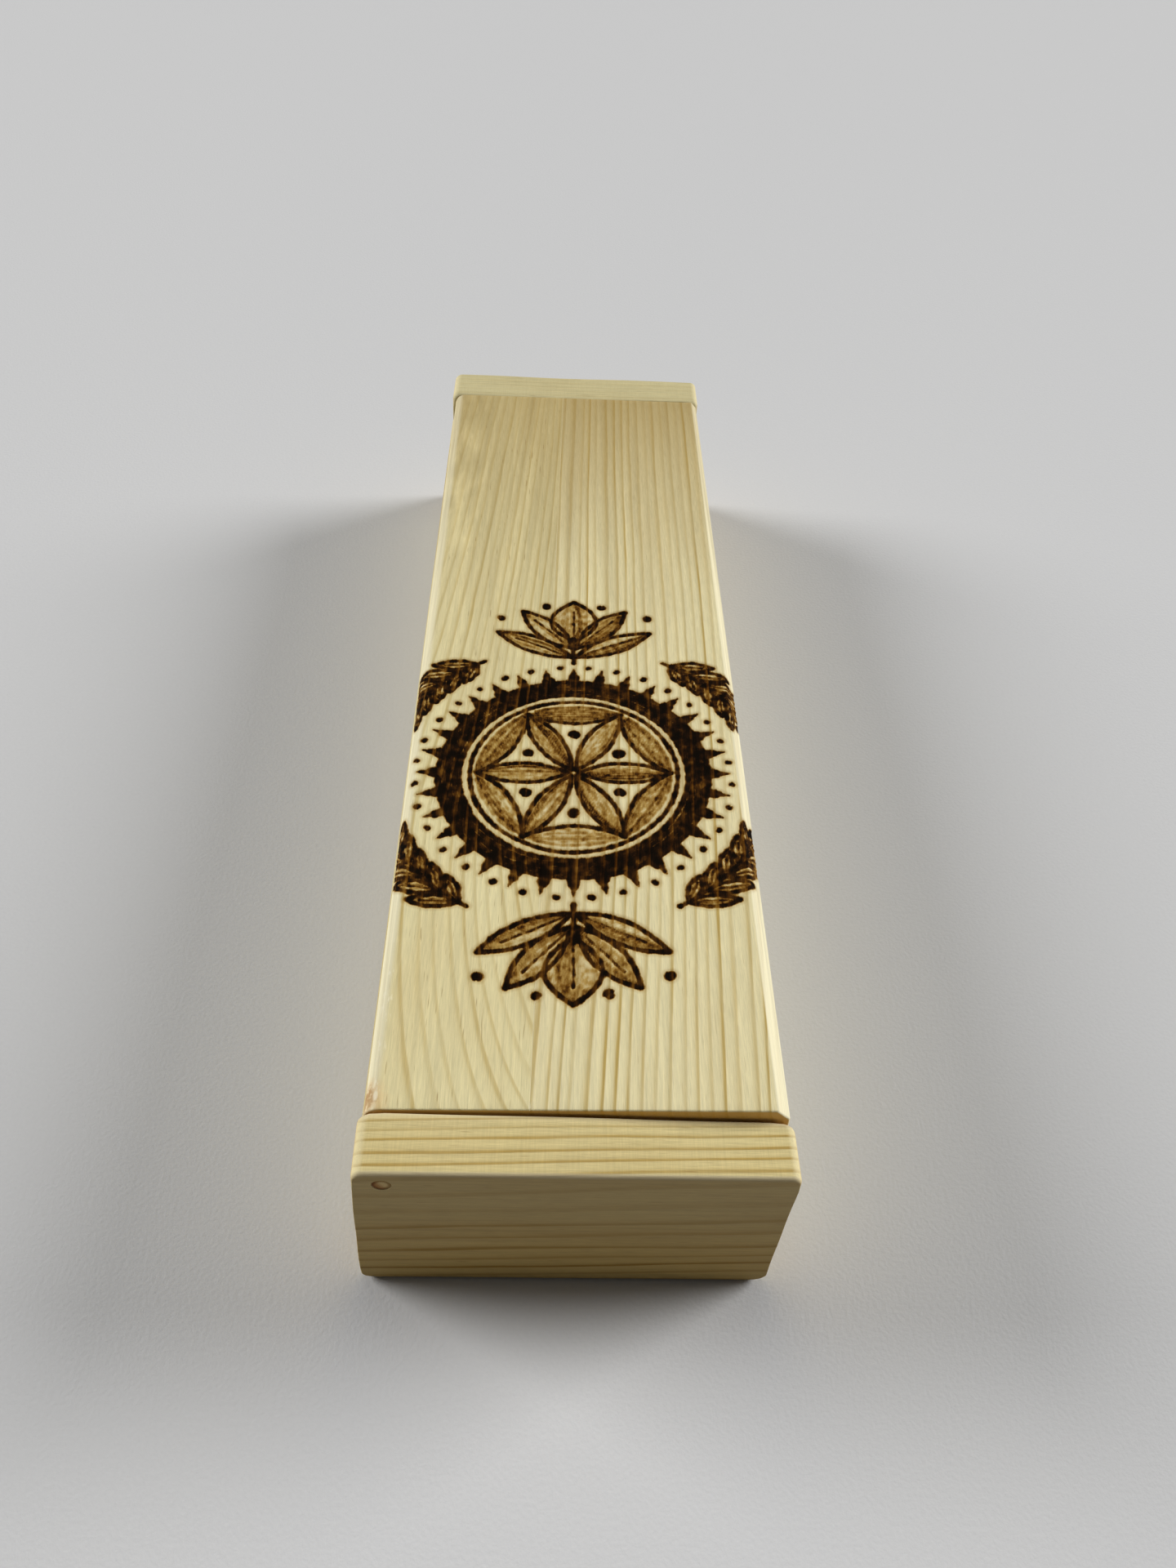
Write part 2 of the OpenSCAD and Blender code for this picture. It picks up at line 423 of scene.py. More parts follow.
def border(drawing, inner, outer, tip, teeth):
    """Ring burnt dark in several rounds, with a row of pointed teeth and dots outside it."""
    rounds = 5
    for radius in np.linspace(inner, outer, 2 * rounds + 1)[1::2]:
        drawing.ring(radius, half_width=(outer - inner) / rounds * 0.62, tone=0.80)
    for angle in np.arange(teeth) * 360 / teeth:
        tooth = line(polar(outer - 0.5, angle), polar(tip, angle), 6)
        drawing.line(tooth, half_width=1.35, tone=0.75, taper=0.9)
        drawing.dot(polar(tip + 0.3, angle + 180 / teeth), 0.5)


def sprig(drawing, way):
    """Bud on a stem between two pairs of leaves, pointing to one end of the lid."""
    foot, top = [(0, way * along) for along in SPRIG_STEM]
    drawing.line(line(foot, top, 10))
    base, tip = [(0, way * along) for along in SPRIG_BUD]
    drawing.leaf(base, tip, BUD_HALF_WIDTH, 5)
    for side in (-1, 1):
        mirror = np.array((side, way))
        for base, tip, half_width in SPRIG_LEAVES:
            drawing.leaf(mirror * base, mirror * tip, half_width)
        for place, radius in SPRIG_DOTS:
            drawing.dot(mirror * place, radius)


def garland(drawing, side, way):
    """Leafy stem that follows the border round to a long edge of the lid."""
    def place(out, degrees):
        return polar(GARLAND_RADIUS + out, degrees) * (side, way)

    drawing.line(place(0, np.linspace(60, 26, 30)), half_width=0.4, tone=0.7)
    for turn in np.linspace(57, 30, 5):
        drawing.leaf(place(0, turn), place(4.6, turn - 10.5), 1.15, 2)
        drawing.leaf(place(0, turn), place(-2.8, turn - 8.5), 1.0, 2)
    drawing.dot(place(0, 22), 0.8)


def ornament():
    drawing = Drawing(seed=11)
    rosette(drawing, ROSETTE_RADIUS)
    drawing.ring(FINE_RING, half_width=0.44, tone=0.75)
    border(drawing, BORDER_INNER, BORDER_OUTER, TOOTH_TIP, TEETH)
    for way in (-1, 1):
        sprig(drawing, way)
        for side in (-1, 1):
            garland(drawing, side, way)
    return drawing


def reach_of(strokes, across, along):
    """For each stroke: which points lie near it, how far inside its edge they are, and its tone there."""
    for points, widths, tones in strokes:
        margin = widths.max() - FAR_FROM_BURN
        low, high = points.min(0) - margin, points.max(0) + margin
        inside_box = (across > low[0]) & (across < high[0]) & (along > low[1]) & (along < high[1])
        near = np.where(inside_box)[0]
        if not len(near):
            continue
        place = np.stack([across[near], along[near]], axis=1)[:, None, :]
        start, run = points[:-1], np.diff(points, axis=0)
        share = np.clip(((place - start) * run).sum(2) / np.maximum((run * run).sum(1), TINY), 0, 1)
        away = np.linalg.norm(place - (start + share[:, :, None] * run), axis=2)
        inside = widths[:-1] + np.diff(widths) * share - away
        pick = np.arange(len(near)), inside.argmax(1)
        tone = tones[:-1] + np.diff(tones) * share
        yield near, inside[pick], tone[pick]


def burn_of(drawing, across, along):
    """How deep points lie inside burnt lines, the tone of these lines, and how strong the washes are."""
    depth = np.full(len(across), FAR_FROM_BURN)
    tone = np.zeros(len(across))
    wash = np.zeros(len(across))
    for near, inside, shade in reach_of(drawing.lines, across, along):
        deeper = inside > depth[near]
        depth[near[deeper]] = inside[deeper]
        tone[near[deeper]] = shade[deeper]
    for near, inside, shade in reach_of(drawing.washes, across, along):
        wash[near] = np.maximum(wash[near], shade * np.interp(inside, WASH_SLOPE, (0, 1)))
    return depth, tone, wash


# Lid boards

def wind_at(y):
    return LID_WIND * (lid_back - y) / (lid_back - lid_front)


def glue_edge(y, height):
    """Where the upright glue line cuts the turned section, at a height in the section's own frame."""
    x = glue_line_front + (glue_line_back - glue_line_front) * (y - lid_front) / (lid_back - lid_front)
    return (x - hinge_x + height * math.sin(wind_at(y))) / math.cos(wind_at(y))


def free_cut_share(y):
    """How much of the free edge's cut there is at y: the edge is sanded less towards the back."""
    return np.interp(y, (lid_front, lid_back), (1.0, FREE_CUT_AT_BACK))


def hinge_section(y, columns):
    """The hinge board's section about the hinge axis, from the glue line's top to the left and round."""
    top, low = glue_edge(y, lid_upper), glue_edge(y, lid_lower)
    upper = (lid_left + HINGE_UPPER_ROUND, lid_upper - HINGE_UPPER_ROUND)
    lower = (lid_left + hinge_lower_round, lid_lower + hinge_lower_round)
    return closed(
        line((top - SEAM_EASE, lid_upper), (upper[0], lid_upper), columns),
        arc(upper, HINGE_UPPER_ROUND, 90, 180, 12),
        arc(lower, hinge_lower_round, 180, 270, 12),
        line((lower[0], lid_lower), (low, lid_lower), 10),
        line((low, lid_lower), (top, lid_upper - SEAM_EASE), 4))


def free_section(y, columns):
    """The free board's section about the hinge axis, from the glue line's top to the right and round."""
    top, low = glue_edge(y, lid_upper), glue_edge(y, lid_lower)
    width, height, ease = np.array((FREE_CUT_WIDTH, FREE_CUT_HEIGHT, FREE_CUT_EASE)) * free_cut_share(y)
    over, down = cut_corner((lid_right, lid_upper), width, height, ease)
    lower = (lid_right - FREE_LOWER_ROUND, lid_lower + FREE_LOWER_ROUND)
    return closed(
        line((top + SEAM_EASE, lid_upper), over[0], columns),
        over,
        line(over[-1], down[0], 8),
        down,
        line(down[-1], (lid_right, lower[1]), 4),
        arc(lower, FREE_LOWER_ROUND, 0, -90, 6),
        line((lower[0], lid_lower), (low, lid_lower), 14),
        line((low, lid_lower), (top, lid_upper - SEAM_EASE), 4))


def unrolled(outline, y):
    """Places across the lid at y, measured on from its top over the rounded edges and down its sides."""
    across = outline[:, 0].copy()
    free_round = FREE_CUT_WIDTH * free_cut_share(y)
    for edge, radius, side in ((lid_left, HINGE_UPPER_ROUND, -1), (lid_right, free_round, 1)):
        centre_x, centre_z = edge - side * radius, lid_upper - radius
        out, up = side * (outline[:, 0] - centre_x), outline[:, 1] - centre_z
        turn = np.arctan2(out, np.maximum(up, 0))
        across = np.where(out > 0, centre_x + side * (radius * turn + np.maximum(-up, 0)), across)
    underside = outline[:, 1] < lid_lower + UNDERSIDE_RISE
    return np.where(underside, np.inf, across + hinge_x)


def turned(outline, y):
    """A section about the hinge axis, turned by the lid's twist and placed at y."""
    wind = wind_at(y)
    x = hinge_x + outline[:, 0] * math.cos(wind) - outline[:, 1] * math.sin(wind)
    z = hinge_z + outline[:, 0] * math.sin(wind) + outline[:, 1] * math.cos(wind)
    return stood_up(np.stack([x, z], axis=1), y)


def lid_stations():
    """Stations along the lid, close together over the ornament."""
    front = rounded_end(lid_front, LID_FRONT_ROUND, 1, 4)
    back = rounded_end(lid_back, LID_BACK_ROUND, -1, 4)[::-1]
    fine = [ORNAMENT_CENTRE[1] + way * ORNAMENT_REACH for way in (-1, 1)]
    marks = [front[-1][0], *fine, back[0][0]]
    between = []
    for low, high, step in zip(marks, marks[1:], (COARSE_STEP, FINE_STEP, COARSE_STEP)):
        between += [(y, 0.0) for y in np.linspace(low, high, math.ceil((high - low) / step) + 1)[1:]]
    return front + between[:-1] + back


def lid_board(node, section, width, drawing, material, bored):
    """A lid board as a twisted loft, with the burnt lines sunk into it and stored for its material."""
    stations = lid_stations()
    outlines = [section(y, int(width / FINE_STEP)) for y, _ in stations]
    across = np.concatenate([unrolled(outline, y) for outline, (y, _) in zip(outlines, stations)])
    along = np.repeat([y for y, _ in stations], len(outlines[0]))
    depth, tone, wash = burn_of(drawing, across - ORNAMENT_CENTRE[0], along - ORNAMENT_CENTRE[1])
    sinks = np.split(BURN_DEPTH * np.interp(depth, BURN_SLOPE, (0, 1)), len(stations))
    rings = []
    for (y, inset), outline, sink in zip(stations, outlines, sinks):
        ring = drawn_in(outline, inset + sink)
        seam = np.abs(outline[:, 0] - glue_edge(y, outline[:, 1])) < 2 * SEAM_EASE
        ring[seam, 0] = outline[seam, 0]
        rings.append(turned(ring, y))
    bm, front_rim, back_rim = loft(rings)
    bore = circle(pin_radius + BORE_PLAY, 32)
    bore_depth = front_pin_high[1] - lid_front + BORE_END_GAP
    for rim, way in ((front_rim, 1), (back_rim, -1)):
        close_end(bm, rim, [(bore, way * bore_depth)] if bored else ())
    extra = (0, len(bm.verts) - len(depth))
    attributes = [("burn", np.pad(depth, extra, constant_values=FAR_FROM_BURN)),
                  ("tone", np.pad(tone, extra)),
                  ("wash", np.pad(wash, extra))]
    finish_piece(bm, node, material, attributes)


# End blocks, walls and pins

def hand_worked(points):
    """Slow waves in sides, top and bottom, as hand sanding leaves none of them quite true."""
    x, y, z = points.T
    waves = [np.sin(0.29 * y + 0.21 * z + 0.4) + np.sin(0.11 * y - 0.37 * z),
             np.zeros(len(points)),
             np.sin(0.19 * x + 0.27 * y + 2.3) + np.sin(0.13 * x - 0.08 * y + 0.7)]
    return points + HAND_WORK * np.stack(waves, axis=1)


def leaning(points):
    """Moves the hinge side outwards towards its foot, and leaves all that lies inside its wall."""
    x, y, z = points.T
    outward = np.clip((front_low[0] + wall_t - x) / wall_t, 0, 1) * (1 - z / front_high[2])
    return np.stack([x - HINGE_SIDE_LEAN * outward, y, z], axis=1)


def tongue_at(x):
    """Outline of a wall's tongue and of its mortise, above the panel and below the lower wall's top."""
    low = panel_high[2] + TONGUE_SHOULDER
    high = min(hinge_wall_high[2], opening_wall_high[2]) - TONGUE_SHOULDER
    return rect((x - TONGUE_T / 2, low), (x + TONGUE_T / 2, high))


def block_shares(outline, low, high):
    """Share that each point of a block's outline has in the rounding of the outer and the inner face."""
    to_top = high[2] - outline[:, 1]
    to_edge = np.minimum(outline[:, 1] - low[2], to_top)
    to_side = np.minimum(outline[:, 0] - low[0], high[0] - outline[:, 0])
    outer_share = np.interp(to_edge, (0, max(BLOCK_ROUNDS)), (1.0, SIDE_EDGE_SHARE))
    near_corner = np.interp([to_top, to_side], (0, BLOCK_CORNER_REACH), (1.0, 0.0)).prod(axis=0)
    return outer_share, np.maximum(near_corner, BLOCK_INNER_ROUND / BLOCK_CORNER_ROUND)


def end_block(node, material):
    """End block with its pockets for the panel, the walls' tongues and the pin."""
    low, high = node_box(node)
    way = 1 if low[1] < 0 else -1
    outer, inner = (low[1], high[1])[::way]
    outline = soft_rect(low[::2], high[::2], BLOCK_ROUNDS)
    outer_share, inner_share = block_shares(outline, low, high)
    stations = [(y, inset * outer_share) for y, inset in rounded_end(outer, BLOCK_OUTER_ROUND, way, 6)]
    inner_end = rounded_end(inner, BLOCK_CORNER_ROUND, -way, 6)
    stations += [(y, inset * inner_share) for y, inset in inner_end[::-1]]
    rings = [leaning(hand_worked(stood_up(drawn_in(outline, inset), y))) for y, inset in stations]
    for ring in rings:
        ring[:, 2] = np.maximum(ring[:, 2], low[2])
    bm, outer_rim, inner_rim = loft(rings)
    pockets = [(rect(panel_low[::2], panel_high[::2]), -way * groove_d)]
    for tongue_x in (low[0] + wall_t / 2, high[0] - wall_t / 2):
        pockets.append((tongue_at(tongue_x), -way * tongue_l))
    # The pin fills its hole, so the hole is a pocket from each side and the two don't meet
    hole = circle(pin_radius + PIN_HOLE_GAP, 40)
    close_end(bm, outer_rim, [(hole, (inner - outer) / 2)])
    close_end(bm, inner_rim, pockets + [(hole, (outer - inner) / 3)])
    finish_piece(bm, node, material)


def side_wall(node, material):
    """Long wall with its groove for the panel and its tongues. The outer face of the hinge wall leans."""
    low, high = node_box(node)
    side = 1 if low[0] > 0 else -1
    inner, outer = sorted(abs(x) for x in (low[0], high[0]))
    bottom, top = low[2], high[2]
    foot = BLOCK_ROUNDS[1] if side > 0 else BLOCK_ROUNDS[0]
    groove = rect((inner, panel_low[2]), (inner + groove_d, panel_high[2]))
    outline = closed(
        arc((outer - foot, bottom + foot), foot, 270, 360, 8),
        arc((outer - WALL_ROUND, top - WALL_ROUND), WALL_ROUND, 0, 90, 4),
        arc((inner + WALL_ROUND, top - WALL_ROUND), WALL_ROUND, 90, 180, 4),
        groove[[3, 2, 1, 0]],
        arc((inner + WALL_ROUND, bottom + WALL_ROUND), WALL_ROUND, 180, 270, 4)) * (side, 1)
    ends = line((front_high[1],), (back_low[1],), 40)[:, 0]
    bm, front_rim, back_rim = loft([leaning(stood_up(outline, y)) for y in ends])
    tongue = tongue_at(side * (outer - wall_t / 2))
    close_end(bm, front_rim, [(tongue, -tongue_l)])
    close_end(bm, back_rim, [(tongue, tongue_l)])
    finish_piece(bm, node, material)


def pin(node, material):
    """Wooden pin with softened ends, a hair below the face of its block."""
    low, high = node_box(node)
    first, last = low[1] + PIN_SUNK, high[1] - PIN_SUNK
    stations = rounded_end(first, PIN_END_EASE, 1, 5) + rounded_end(last, PIN_END_EASE, -1, 5)[::-1]
    outline = circle(pin_radius, 40)
    bm, first_rim, last_rim = loft([stood_up(drawn_in(outline, inset), y) for y, inset in stations])
    close_end(bm, first_rim)
    close_end(bm, last_rim)
    finish_piece(bm, node, material)


# Materials

# Shine of bare wood, of the lid and of the floor's paper
WOOD_SHINE = 0.08
LID_SHINE = 0.03
PAPER_SHINE = 0.1

# Sockets of a mix that are for colours
MIX_A, MIX_B, MIX_RESULT = 6, 7, 2


class Value:
    """What comes out of a node. Sums, products and the like add nodes to its graph."""

    def __init__(self, graph, socket):
        self.graph = graph
        self.socket = socket

    def __add__(self, other):
        return self.graph.math("ADD", self, other)

    def __sub__(self, other):
        return self.graph.math("SUBTRACT", self, other)

    def __mul__(self, other):
        return self.graph.math("MULTIPLY", self, other)

    def __truediv__(self, other):
        return self.graph.math("DIVIDE", self, other)

    def smooth(self, low, high):
        """0 below low, 1 above high and a soft step between."""
        inputs = {"Value": self, "From Min": low, "From Max": high}
        return self.graph.value("ShaderNodeMapRange", inputs, interpolation_type="SMOOTHSTEP")

    def spread(self, low, high):
        """A value from 0 to 1 stretched to run from low to high."""
        return self.graph.value("ShaderNodeMapRange", {"Value": self, "To Min": low, "To Max": high})


class Graph:
    """Node graph of a material or of the world."""

    def __init__(self, owner):
        owner.use_nodes = True
        self.owner = owner
        self.tree = owner.node_tree
        self.tree.nodes.clear()

    def add(self, kind, inputs=(), **settings):
        node = self.tree.nodes.new(kind)
        for key, setting in settings.items():
            setattr(node, key, setting)
        for key, entry in dict(inputs).items():
            if isinstance(entry, Value):
                self.tree.links.new(entry.socket, node.inputs[key])
            else:
                node.inputs[key].default_value = entry
        return node

    def value(self, kind, inputs=(), output=0, **settings):
        """Adds a node, and returns what comes out of it."""
        return Value(self, self.add(kind, inputs, **settings).outputs[output])

    def math(self, operation, a, b=0.0):
        return self.value("ShaderNodeMath", {0: a, 1: b}, operation=operation)

    def distance(self, a, b):
        return self.math("SQRT", a * a + b * b)

    def joined(self, x, y, z):
        return self.value("ShaderNodeCombineXYZ", {0: x, 1: y, 2: z})

    def parts(self, vector):
        return [Value(self, part) for part in self.add("ShaderNodeSeparateXYZ", {0: vector}).outputs]

    def noise(self, place, cycles, detail=2.0, roughness=0.5):
        """Noise from 0 to 1 with so many cycles to the millimetre along each axis."""
        scaled = self.value("ShaderNodeVectorMath", {0: place, 1: cycles}, operation="MULTIPLY")
        inputs = {"Vector": scaled, "Scale": 1.0, "Detail": detail, "Roughness": roughness}
        return self.value("ShaderNodeTexNoise", inputs)

    def chance(self, number):
        return self.value("ShaderNodeTexWhiteNoise", {"W": number}, noise_dimensions="1D")

    def ramp(self, share, stops):
        node = self.add("ShaderNodeValToRGB", {0: share})
        elements = node.color_ramp.elements
        while len(elements) < len(stops):
            elements.new(1.0)
        for element, (place, colour) in zip(elements, stops):
            element.position = place
            element.color = (*colour, 1.0)
        return Value(self, node.outputs[0])

    def mix(self, share, a, b, blend="MIX"):
        a, b = [colour if isinstance(colour, Value) else (*colour, 1.0) for colour in (a, b)]
        inputs = {0: share, MIX_A: a, MIX_B: b}
        return self.value("ShaderNodeMix", inputs, MIX_RESULT, data_type="RGBA", blend_type=blend)

    def shaded(self, colour, shade):
        return self.mix(1.0, colour, self.joined(shade, shade, shade), "MULTIPLY")

    def attribute(self, name):
        return self.value("ShaderNodeAttribute", output="Fac", attribute_name=name)

    def place(self):
        """X, Y and Z on the piece at rest, in millimetres."""
        inputs = {0: self.value("ShaderNodeTexCoord", output="Object"), 1: (1 / MM,) * 3}
        return self.parts(self.value("ShaderNodeVectorMath", inputs, operation="MULTIPLY"))

    def facing(self, axis):
        """How squarely the surface faces along an axis of the frame, from 0 to 1."""
        normal = self.value("ShaderNodeTexCoord", output="Normal")
        return self.math("ABSOLUTE", self.parts(normal)["XYZ".index(axis)])

    def surface(self, colour, roughness, height, relief, specular=WOOD_SHINE):
        """Closes the graph; height runs from 0 to about 1, and relief is what that is in millimetres."""
        bump = self.value("ShaderNodeBump", {"Height": height, "Distance": relief * MM})
        shader = self.value("ShaderNodeBsdfPrincipled", {
            "Base Color": colour, "Roughness": roughness, "Normal": bump, "Specular IOR Level": specular})
        self.add("ShaderNodeOutputMaterial", {0: shader})
        return self.owner


def grey(level):
    return (level, level, level)


# Colours of pine, its ends, the painted shade of its wide faces, the painted highlights of its edges, its faults,
# and painted glints
EARLY_WOOD = (0.77, 0.685, 0.405)
LATE_WOOD = (0.47, 0.335, 0.105)
HONEY = (0.60, 0.47, 0.23)
BLOCK_END = (0.66, 0.46, 0.20)
# End grain of the lid, brightened with a painted glow
LID_END_AND_GLOW = (0.95, 0.56, 0.15)
FACE_SHADE_HIGH = (0.68, 0.60, 0.54)
FACE_SHADE_LOW = (0.76, 0.63, 0.46)
BACK_BROWN = (0.30, 0.17, 0.02)
SANDED_EDGE_HIGHLIGHT = (0.90, 0.83, 0.58)
BLOCK_EDGE_HIGHLIGHT = (1.00, 0.88, 0.53)
FLECK = (0.36, 0.24, 0.10)
KNOT = (0.44, 0.23, 0.08)
AMBER = (0.74, 0.50, 0.24)
PAINTED_GLINT = (0.95, 0.89, 0.68)

# Colours of the pins, with painted shade on one side of their ends, and of the plywood
DOWEL_DARK = (0.50, 0.36, 0.15)
DOWEL_PALE = (0.64, 0.48, 0.21)
DOWEL_SHADE = (0.36, 0.16, 0.04)
DOWEL_RIM = (0.29, 0.17, 0.05)
DOWEL_SHADED_RIM = (0.17, 0.06, 0.006)
PLY_DARK = (0.57, 0.43, 0.24)
PLY_PALE = (0.74, 0.62, 0.40)

# Late wood across one growth ring, and colours from bare wood to char
LATE_BAND = [(0.0, grey(0.22)), (0.04, grey(0.0)), (0.43, grey(0.04)), (0.66, grey(0.34)),
             (0.82, grey(1.0)), (0.94, grey(0.95)), (1.0, grey(0.22))]
BURN_COLOURS = [(0.0, grey(1.0)), (0.25, (0.57, 0.41, 0.19)), (0.48, (0.28, 0.145, 0.035)),
                (0.68, (0.095, 0.040, 0.010)), (0.86, (0.020, 0.009, 0.005)), (1.0, (0.006, 0.004, 0.003))]

# How much higher late wood stands, next to the height of the fibres
LATE_RELIEF = 0.5

# How squarely a surface faces along the fibres where end grain begins and where it is full
END_GRAIN = (0.75, 0.98)

# Blocks and walls: cover of the end grain and of the painted highlight on the roundings, and heights between which
# wide faces turn plainer and take on painted shade
BLOCK_END_COVER = 0.65
BLOCK_EDGE_HIGHLIGHT_COVER = 0.44
FACE_PLAIN = (12.0, 28.0)
FACE_SHADE_HEIGHTS = (4.0, 28.0)

# Places along the lid, and last across it, between which its back's look, bands, brown and patches set in
BACK_LOOK = (-20.0, 90.0)
BANDS_BEGIN = (-15.0, 35.0)
FULLY_BROWN = 150.0
PATCHES_BEGIN = (15.0, 45.0)
PATCHES_ACROSS = (-17.0, -26.0)

# Marks at the lid's front corner beside the hinge, a knot and painted glints: their centres from that corner, and
# their radii
AMBER_SPOT = ((0.6, 1.2), (3.0, 4.2))
KNOT_SPOT = ((0.3, 2.0), (1.5, 1.8))
GLINT_STREAK = ((1.6, 14.0), (0.9, 16.0))
KNOT_GLINT = ((1.6, 2.2), (0.4, 0.9))

# Lid boards: their piths to the left and below, where their lines start to bend, and their lean and bend
STRAIGHT_PITH = (160.0, 10.0)
STRAIGHT_BEND_AT = 10.0
STRAIGHT_LEAN = 0.015
STRAIGHT_BEND = 0.00025
BOWED_PITH = (62.0, 18.0)
BOWED_BEND_AT = -40.0

# Lean and bend of the bowed lines in the box's middle, and their change with each millimetre to the right
BOWED_LEAN = (0.035, -0.004)
BOWED_BEND = (0.0044, 0.000125)


def late_wood(graph, a, b, along, spacing, fineness):
    """How much of a growth ring's dark late wood there is at a place round the pith."""
    tree = graph.joined(a, b, along)
    drift = graph.noise(tree, (0.035, 0.035, 0.007))
    waver = graph.noise(tree, (0.45, 0.45, 0.045))
    radius = graph.distance(a, b) + drift.spread(-1.6, 1.6)
    uneven = graph.noise(graph.joined(radius, 0.0, 0.0), (0.14, 0.0, 0.0), 1.0)
    turns = (radius + uneven.spread(-1.6, 1.6) + waver.spread(-0.25, 0.25)) / spacing
    band = graph.math("POWER", graph.ramp(graph.math("FRACT", turns), LATE_BAND), fineness)
    year = graph.chance(graph.math("FLOOR", turns))
    return band * year.spread(0.4, 1.15)


def wood(graph, rings, fibre, grain, end_colour, end_cover, spacing=1.85, contrast=0.9, fineness=1.0,
         flecks=0.5, tint=grey(1.0)):
    """Colour of sawn and sanded pine, with its late wood and fibres for the other parts of the material.

    Rings is the place round the pith; fibre is the place across, up and along the fibres.
    """
    place = graph.joined(*fibre)
    streaks = graph.noise(place, (1.6, 1.6, 0.03), 3.0)
    fibres = graph.noise(place, (8.0, 8.0, 0.3), 4.0, 0.65)
    clouds = graph.noise(place, (0.10, 0.10, 0.022), 3.0)
    canals = graph.noise(place, (3.6, 3.6, 0.22), 1.0)
    ends = graph.facing(grain).smooth(*END_GRAIN)
    late = late_wood(graph, *rings, fibre[2], spacing, fineness) * streaks.spread(0.0, 2.0)
    colour = graph.mix(late * contrast, EARLY_WOOD, LATE_WOOD)
    colour = graph.mix(clouds.smooth(0.42, 0.75) * 0.3, colour, HONEY)
    colour = graph.shaded(colour, streaks.spread(0.82, 1.18) + fibres.spread(-0.30, 0.30))
    colour = graph.mix(canals.smooth(0.68, 0.80) * ends.spread(flecks, 0.0), colour, FLECK)
    colour = graph.mix(ends * end_cover, colour, end_colour)
    return graph.mix(1.0, colour, tint, "MULTIPLY"), late, fibres


def painted_face_shade(graph, z, colour):
    """Wide faces of a block: painted highlight at their rounded edges, elsewhere painted shade, redder at the
    foot.
    """
    # Painted highlight along the rounded edges of the wide faces
    edge = graph.facing("Y") * graph.facing("Z") * 1.2
    colour = graph.mix(edge, colour, SANDED_EDGE_HIGHLIGHT)
    # Painted shade over the wide faces, redder towards the foot
    tint = graph.mix(z.smooth(*FACE_SHADE_HEIGHTS), FACE_SHADE_LOW, FACE_SHADE_HIGH)
    return graph.mix(graph.facing("Y"), colour, tint, "MULTIPLY")


def plain_pine(name, grain, pith, lean=0.0, scratches=0.0, plain_face_and_shade=0.0, contrast=0.9, **look):
    """Pine for a board with its grain along X or Y, and its pith at a place in the two other directions.

    Its upper edge can have marks of sanding across the grain, and the roundings beside its end grain get a
    painted highlight. Its wide faces can take painted shade and highlight, and be plainer towards the top.
    """
    graph = Graph(bpy.data.materials.new(name))
    x, y, z = graph.place()
    across, along = (x, y) if grain == "Y" else (y, x)
    rings = across - pith[0] - along * lean, z - pith[1]
    plain = graph.facing("Y") * z.smooth(*FACE_PLAIN) * plain_face_and_shade
    colour, late, fibres = wood(graph, rings, (across, z, along), grain, BLOCK_END, BLOCK_END_COVER,
                                contrast=plain.spread(contrast, contrast * 0.1), **look)
    sanding = graph.noise(graph.joined(along, across, z), (5.0, 0.22, 0.22), 3.0, 0.6)
    colour = graph.shaded(colour, sanding.spread(-scratches, scratches) * graph.facing("Z") + 1.0)
    # Painted highlight on the roundings beside the end grain
    rounding = (graph.facing(grain) * graph.facing("Z")).smooth(0.0, 0.5)
    colour = graph.mix(rounding * BLOCK_EDGE_HIGHLIGHT_COVER, colour, BLOCK_EDGE_HIGHLIGHT)
    if plain_face_and_shade:
        colour = painted_face_shade(graph, z, colour)
    return graph.surface(colour, fibres.spread(0.48, 0.70), late * LATE_RELIEF + fibres, relief=0.04)


def corner_mark(graph, x, y, centre, radii):
    """1 inside an ellipse near the lid's front corner at the hinge, softly down to 0 outside it."""
    across = (x - (hinge_board_low[0] + centre[0])) / radii[0]
    along = (y - (lid_front + centre[1])) / radii[1]
    return graph.distance(across, along).smooth(1.15, 0.45)


def knotty_corner(graph, x, y, place, colour):
    """The lid's front corner at the hinge: the rim of a knot, with painted glints that run back from it and one
    beside it.
    """
    lumps = graph.noise(place, (1.3, 0.8, 1.3), 3.0, 0.6)
    across, along = x + lumps.spread(-1.6, 1.6), y + lumps.spread(3.0, -3.0)
    around = corner_mark(graph, across, along, *AMBER_SPOT)
    knot = corner_mark(graph, across, along, *KNOT_SPOT)
    colour = graph.mix(around * 0.5, colour, AMBER)
    colour = graph.mix(knot * lumps.spread(0.2, 1.2), colour, KNOT)
    # Painted glints on the rounded edge behind the knot, and one beside the knot
    bright = graph.noise(place, (1.2, 0.35, 1.2), 3.0).smooth(0.56, 0.66)
    painted_glints = corner_mark(graph, x, y, *GLINT_STREAK) * bright
    painted_glints = graph.math("MAXIMUM", painted_glints, corner_mark(graph, x, y, *KNOT_GLINT))
    return graph.mix(painted_glints * 0.6, colour, PAINTED_GLINT)


def back_shades(graph, x, y, place, across_rings, banding):
    """Shading of the lid's back half: broad bands that follow the grain, and patches at the hinge edge."""
    bands = graph.noise(graph.joined(across_rings, y, 0.0), (0.28, 0.012, 0.0))
    bands = bands.spread(-banding, banding) * y.smooth(*BANDS_BEGIN)
    patches = graph.noise(place, (0.32, 0.10, 0.32)).spread(-0.45, 0.45)
    back_left = x.smooth(*PATCHES_ACROSS) * y.smooth(*PATCHES_BEGIN)
    return bands + patches * back_left + 1.0


